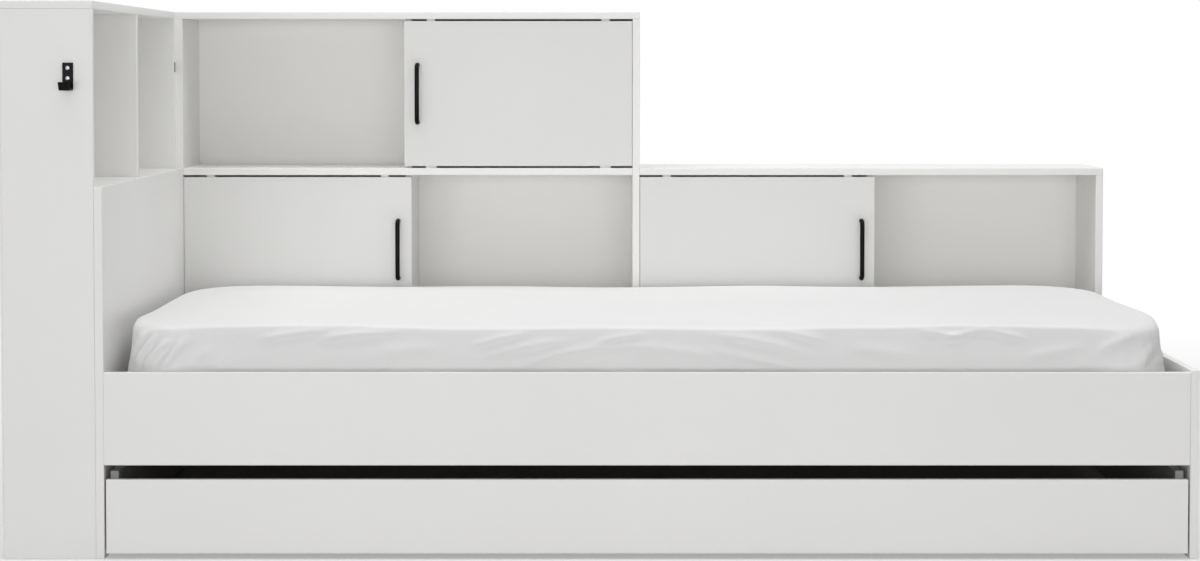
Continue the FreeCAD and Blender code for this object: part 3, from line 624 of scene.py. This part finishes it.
# Soft creases on the front of the sheet: both ends as (X, Z), the rise and the half width
FRONT_FOLDS = [
    ((-0.872, 0.344), (-0.808, 0.412), 0.0110, 0.0070),
    ((-0.886, 0.350), (-0.838, 0.416), 0.0105, 0.0058),
    ((-0.893, 0.368), (-0.856, 0.427), 0.0090, 0.0052),
    ((-0.828, 0.350), (-0.774, 0.416), 0.0080, 0.0080),
    ((-0.780, 0.352), (-0.730, 0.398), 0.0030, 0.0090),
    ((-0.640, 0.412), (-0.500, 0.431), 0.0060, 0.0070),
    ((-0.540, 0.410), (-0.376, 0.427), 0.0060, 0.0080),
    ((-0.430, 0.384), (-0.300, 0.396), 0.0036, 0.0100),
    ((-0.245, 0.398), (-0.135, 0.424), 0.0043, 0.0065),
    ((-0.220, 0.380), (-0.055, 0.410), 0.0047, 0.0080),
    ((-0.145, 0.372), (0.070, 0.401), 0.0043, 0.0065),
    ((0.045, 0.400), (0.215, 0.379), 0.0040, 0.0080),
    ((-0.170, 0.346), (-0.090, 0.378), 0.0040, 0.0075),
    ((-0.015, 0.404), (0.088, 0.423), 0.0040, 0.0060),
    ((0.320, 0.431), (0.428, 0.406), 0.0047, 0.0065),
    ((0.210, 0.421), (0.405, 0.382), 0.0050, 0.0080),
    ((0.210, 0.391), (0.380, 0.349), 0.0047, 0.0080),
    ((0.470, 0.396), (0.590, 0.380), 0.0036, 0.0100),
    ((0.595, 0.430), (0.685, 0.414), 0.0060, 0.0060),
    ((0.635, 0.410), (0.740, 0.435), 0.0058, 0.0065),
    ((0.712, 0.431), (0.800, 0.413), 0.0060, 0.0060),
    ((0.800, 0.378), (0.910, 0.396), 0.0038, 0.0090),
    ((0.935, 0.388), (1.002, 0.420), 0.0048, 0.0090),
    ((1.004, 0.346), (1.050, 0.400), 0.0036, 0.0110),
]
# How far the front and rear top edges stand above (or under) their level, along X
FRONT_EDGE_WAVE = [(-0.90, 0.0), (-0.53, 0.0040), (-0.25, -0.0025), (0.0, -0.0005), (0.27, -0.0035),
                   (0.52, 0.0005), (0.68, 0.0042), (0.86, 0.0015), (1.08, -0.0045)]
REAR_EDGE_WAVE = [(-0.90, 0.0), (-0.76, 0.0025), (-0.44, -0.0005), (-0.26, 0.0010), (0.06, -0.0025),
                  (0.36, 0.0015), (0.58, -0.0005), (0.92, 0.0030), (1.08, 0.0)]
# The same for the top edges at the head and the foot, along Y
HEAD_EDGE_WAVE = [(-0.55, 0.0), (-0.43, 0.0030), (-0.20, 0.0), (0.10, 0.0010), (0.35, 0.0)]
FOOT_EDGE_WAVE = [(-0.55, 0.0), (-0.30, 0.0050), (0.0, 0.0010), (0.20, 0.0020), (0.35, 0.0)]
EDGE_WAVE_REACH = 0.20
# Depths below the top between which the waves grow to their full rise
EDGE_WAVE_DEPTHS = (0.08, 0.01)
# A crease bows, has a valley beside its ridge, and grows and fades along its length, from 0 to 1
FOLD_BOW = 0.12
FOLD_VALLEY = 0.4
VALLEY_OFF = 1.7
FOLD_GROWS = (-0.12, 0.3)
FOLD_FADES = (0.7, 1.12)
# It turns weaker at the top edge, between these depths below it, and ends at the rail's top
FOLD_TOP_KEEP = 0.3
FOLD_TOP_DEPTHS = (0.022, 0.003)
RAIL_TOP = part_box("front_rail")[1].z
RAIL_FADES = (-0.004, 0.022)
# How fast a crease comes to its full rise as the cloth turns from the top to the side
SIDE_GAIN = 1.4
# Creases on the sides that the picture doesn't show, and the ranges that they are drawn from
SIDE_FOLD_SEED = 7
REAR_FOLDS = 26
END_FOLDS = 9
CHANCE_STEP = (0.1, 0.9)
CHANCE_HEIGHT = (0.33, 0.415)
CHANCE_REACH = (0.06, 0.15)
CHANCE_LEAN = (-0.3, 0.3)
CHANCE_RISE = (0.004, 0.007)
CHANCE_WIDTH = (0.006, 0.009)


def wave_at(x, wave):
    """A smooth line through the wave's points."""
    xs, rises = np.array(wave).T
    found = np.clip(np.searchsorted(xs, x) - 1, 0, len(xs) - 2)
    t = smooth(x, xs[found], xs[found + 1])
    return rises[found] + (rises[found + 1] - rises[found]) * t


def fold_height(along, z, folds):
    """How far the creases lift the cloth, at places along a side."""
    lift = np.zeros_like(along)
    for (a0, z0), (a1, z1), rise, width in folds:
        run = np.array((a1 - a0, z1 - z0))
        length = np.linalg.norm(run)
        run /= length
        t = ((along - a0) * run[0] + (z - z0) * run[1]) / length
        bow = FOLD_BOW * length * t * (1 - t)
        off = ((along - a0) * -run[1] + (z - z0) * run[0] - bow) / width
        taper = smooth(t, *FOLD_GROWS) * (1 - smooth(t, *FOLD_FADES))
        ridge = np.exp(-off ** 2) - FOLD_VALLEY * np.exp(-(off + VALLEY_OFF) ** 2)
        lift += rise * taper * ridge
    border = SHEET_HIGH.z - CROWN
    near_top = smooth(z, *(border - depth for depth in FOLD_TOP_DEPTHS))
    above_rail = smooth(z, *(RAIL_TOP + height for height in RAIL_FADES))
    return lift * (1 - (1 - FOLD_TOP_KEEP) * near_top) * above_rail


def chance_folds(draw, start, end, count):
    """Creases like those on the front, for a side that the picture doesn't show."""
    folds = []
    for i in range(count):
        a = start + (end - start) * (i + draw.uniform(*CHANCE_STEP)) / count
        z = draw.uniform(*CHANCE_HEIGHT)
        reach = draw.uniform(*CHANCE_REACH)
        lean = draw.uniform(*CHANCE_LEAN)
        rise = draw.uniform(*CHANCE_RISE)
        width = draw.uniform(*CHANCE_WIDTH)
        folds.append(((a, z), (a + reach, z + reach * lean), rise, width))
    return folds


def wave_edges(piece):
    """Lets the four top edges rise and sink a little."""
    points = read_points(piece)
    x, y, z = points.T
    front = 1 - smooth(y - SHEET_LOW.y, 0, EDGE_WAVE_REACH)
    rear = 1 - smooth(SHEET_HIGH.y - y, 0, EDGE_WAVE_REACH)
    head = 1 - smooth(x - SHEET_LOW.x, 0, EDGE_WAVE_REACH)
    foot = 1 - smooth(SHEET_HIGH.x - x, 0, EDGE_WAVE_REACH)
    height = smooth(z, *(SHEET_HIGH.z - depth for depth in EDGE_WAVE_DEPTHS))
    rise = wave_at(x, FRONT_EDGE_WAVE) * front + wave_at(x, REAR_EDGE_WAVE) * rear
    rise += wave_at(y, HEAD_EDGE_WAVE) * head + wave_at(y, FOOT_EDGE_WAVE) * foot
    points[:, 2] += rise * height
    write_points(piece, points)


def crease_sheet(sheet):
    """Lifts the creases on the four sides."""
    draw = random.Random(SIDE_FOLD_SEED)
    points = read_points(sheet)
    normals = read_normals(sheet)
    x, y, z = points.T
    rear_folds = chance_folds(draw, SHEET_LOW.x, SHEET_HIGH.x, REAR_FOLDS)
    head_folds = chance_folds(draw, SHEET_LOW.y, SHEET_HIGH.y, END_FOLDS)
    foot_folds = chance_folds(draw, SHEET_LOW.y, SHEET_HIGH.y, END_FOLDS)
    lift = fold_height(x, z, FRONT_FOLDS) * np.clip(-normals[:, 1] * SIDE_GAIN, 0, 1)
    lift += fold_height(x, z, rear_folds) * np.clip(normals[:, 1] * SIDE_GAIN, 0, 1)
    lift += fold_height(y, z, head_folds) * np.clip(-normals[:, 0] * SIDE_GAIN, 0, 1)
    lift += fold_height(y, z, foot_folds) * np.clip(normals[:, 0] * SIDE_GAIN, 0, 1)
    write_points(sheet, points + normals * lift[:, None])


def make_finer(piece):
    """Splits each face of a soft piece in four, rounded off."""
    piece.modifiers.new("finer", "SUBSURF").levels = 1
    depsgraph = bpy.context.evaluated_depsgraph_get()
    finer = bpy.data.meshes.new_from_object(
        piece.evaluated_get(depsgraph), preserve_all_data_layers=True, depsgraph=depsgraph)
    piece.modifiers.clear()
    piece.data = finer


# Cloth: its pinned hem, its steps, how far a point may move, and the gap that it keeps to the mattress
PIN = "hem"
SIM_FRAMES = 20
SIM_REACH = 0.003
CLOTH_GAP = 0.001


def relax_cloth(sheet, body):
    """Lets the sheet settle on the mattress as cloth that is held at its hem."""
    start = read_points(sheet)
    hem = sheet.vertex_groups.new(name=PIN)
    hem.add([int(i) for i in np.flatnonzero(start[:, 2] < SHEET_LOW.z + ROW)], 1.0, "REPLACE")
    wall = body.modifiers.new("hold_up", "COLLISION")
    body.collision.thickness_outer = CLOTH_GAP
    body.collision.cloth_friction = 20
    cloth = sheet.modifiers.new("settle", "CLOTH")
    fabric = cloth.settings
    fabric.quality = 5
    fabric.mass = 0.15
    fabric.air_damping = 2.0
    fabric.tension_stiffness = 20
    fabric.compression_stiffness = 12
    fabric.shear_stiffness = 6
    fabric.bending_stiffness = 0.3
    fabric.vertex_group_mass = PIN
    fabric.use_pressure = True
    fabric.uniform_pressure_force = 0.6
    fabric.shrink_min = -0.006
    cloth.collision_settings.distance_min = CLOTH_GAP
    cloth.collision_settings.use_self_collision = False
    cloth.point_cache.frame_start = 1
    cloth.point_cache.frame_end = SIM_FRAMES
    scene = bpy.context.scene
    for step in range(1, SIM_FRAMES + 1):
        scene.frame_set(step)
    settled = sheet.evaluated_get(bpy.context.evaluated_depsgraph_get())
    end = np.empty(len(start) * 3, np.float32)
    settled.data.vertices.foreach_get("co", end)
    sheet.modifiers.remove(cloth)
    body.modifiers.remove(wall)
    scene.frame_set(1)
    move = end.reshape(-1, 3) - start
    reach = np.linalg.norm(move, axis=1, keepdims=True)
    move *= np.minimum(1, SIM_REACH / np.maximum(reach, SAME_PLACE))
    write_points(sheet, start + move)


# The mattress stays clear of its own box by this much, and sinks in further from one height to the other
BODY_CLEAR = Vector((0.003, 0.003, 0.0015))
BODY_SINK = 0.002
SINK_FROM = 0.28
SINK_TO = 0.32


def sink_body(body):
    """Presses the mattress in a little under the sheet, so that it stays clear of the creases."""
    points = read_points(body)
    depth = BODY_SINK * smooth(points[:, 2], SINK_FROM, SINK_TO)
    write_points(body, points - read_normals(body) * depth[:, None])


def dress_mattress():
    """Makes the padded mattress and the sheet that is stretched over it."""
    low = MATTRESS_LOW + Vector((BODY_CLEAR.x, BODY_CLEAR.y, 0))
    body = soft_box("mattress_quilted", low, MATTRESS_HIGH - BODY_CLEAR, True)
    sheet = soft_box("fitted_sheet_cloth", SHEET_LOW, SHEET_HIGH, False)
    wave_edges(body)
    wave_edges(sheet)
    relax_cloth(sheet, body)
    sink_body(body)
    make_finer(sheet)
    crease_sheet(sheet)
    dressed = ((body, "mattress", "mattress_ticking"), (sheet, "fitted_sheet", "sheet_cotton"))
    for piece, node, slot in dressed:
        piece.data.materials.append(MATERIALS[slot])
        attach(piece, "bed_frame")
        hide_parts(node)


# Studio

def shows_background(tree):
    """1 on rays that show the background: straight to the eye, in gloss and through glass."""
    path = put(tree, "ShaderNodeLightPath").outputs
    seen = calc(tree, "MAXIMUM", path["Is Camera Ray"], path["Is Glossy Ray"])
    return calc(tree, "MAXIMUM", seen, path["Is Transmission Ray"])


def make_world():
    """A soft grey sky that the eye sees as pure white."""
    world = bpy.data.worlds.new("studio")
    world.use_nodes = True
    tree = world.node_tree
    sky = tree.nodes["Background"]
    sky.inputs["Color"].default_value = (1, 1, 1, 1)
    sky.inputs["Strength"].default_value = SKY_LEVEL
    white = put(tree, "ShaderNodeBackground", {"Color": (1, 1, 1, 1), "Strength": 1.0})
    seen = shows_background(tree)
    mixed = put(tree, "ShaderNodeMixShader", {0: seen, 1: sky.outputs[0], 2: white.outputs[0]})
    tree.links.new(mixed.outputs[0], tree.nodes["World Output"].inputs["Surface"])
    bpy.context.scene.world = world


def make_floor():
    """A pale floor that keeps the shadow near the bed and fades into the white beyond.

    It throws less light back on the bed than the eye sees on it.
    """
    mesh = bpy.data.meshes.new("studio_floor")
    half = FLOOR_SIZE / 2
    corners = [(-half, -half, 0), (half, -half, 0), (half, half, 0), (-half, half, 0)]
    mesh.from_pydata(corners, [], [(0, 1, 2, 3)])
    floor = add_object("studio_floor", mesh)
    material, tree, shader = new_material("studio_floor", Roughness=0.9)
    where = places(tree)
    seen = shows_background(tree)
    tree.links.new(tinted(tree, seen, FLOOR_WHITE, FLOOR_SEEN), shader.inputs["Base Color"])
    away = put(tree, "ShaderNodeVectorMath", {0: where}, operation="LENGTH").outputs["Value"]
    far = put(tree, "ShaderNodeMapRange", {
        "Value": away, "From Min": FLOOR_NEAR, "From Max": FLOOR_FAR, "To Min": FLOOR_GLOW, "To Max": 1.0,
    }, interpolation_type="SMOOTHSTEP").outputs[0]
    white = put(tree, "ShaderNodeEmission", {"Color": (1, 1, 1, 1), "Strength": 1.0})
    fac = calc(tree, "MULTIPLY", far, seen)
    mixed = put(tree, "ShaderNodeMixShader", {0: fac, 1: shader.outputs[0], 2: white.outputs[0]})
    tree.links.new(mixed.outputs[0], tree.nodes["Material Output"].inputs["Surface"])
    mesh.materials.append(material)
    floor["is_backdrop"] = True


def make_light(name, place, target, size, power):
    """A wide soft lamp that shines at its target."""
    lamp = bpy.data.lights.new(name, "AREA")
    lamp.shape = "RECTANGLE"
    lamp.size, lamp.size_y = size
    lamp.energy = power
    light = add_object(name, lamp)
    light.location = place
    light.rotation_euler = (Vector(target) - Vector(place)).to_track_quat("-Z", "Y").to_euler()
    return light


def make_camera():
    lens = bpy.data.cameras.new("camera")
    lens.sensor_width = SENSOR_WIDTH
    lens.lens = FOCAL_PIXELS / PICTURE_WIDTH * SENSOR_WIDTH
    lens.shift_y = CAMERA_SHIFT
    camera = add_object("camera", lens)
    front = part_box("front_rail")[0].y
    camera.location = (0, front - CAMERA_DISTANCE, CAMERA_HEIGHT)
    camera.rotation_euler = (math.radians(90 - CAMERA_TILT), 0, 0)
    bpy.context.scene.camera = camera


finish_nodes()
hook_screws()
dress_mattress()
make_world()
make_floor()
make_light("top_light", TOP_LIGHT_PLACE, TOP_LIGHT_AIM, TOP_LIGHT_SIZE, TOP_LIGHT_POWER)
make_light("front_light", FRONT_LIGHT_PLACE, FRONT_LIGHT_AIM, FRONT_LIGHT_SIZE, FRONT_LIGHT_POWER)
back_light = make_light("back_light", BACK_LIGHT_PLACE, BACK_LIGHT_AIM, BACK_LIGHT_SIZE, BACK_LIGHT_POWER)
# Its reflection would bleach the tops of the bookcase
back_light.visible_glossy = False
make_camera()
bpy.context.scene.view_settings.view_transform = "Standard"

boxes = {"cad_box": cad_box, "visual_box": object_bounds()}
{name: [list(corner) for corner in box] for name, box in boxes.items()}
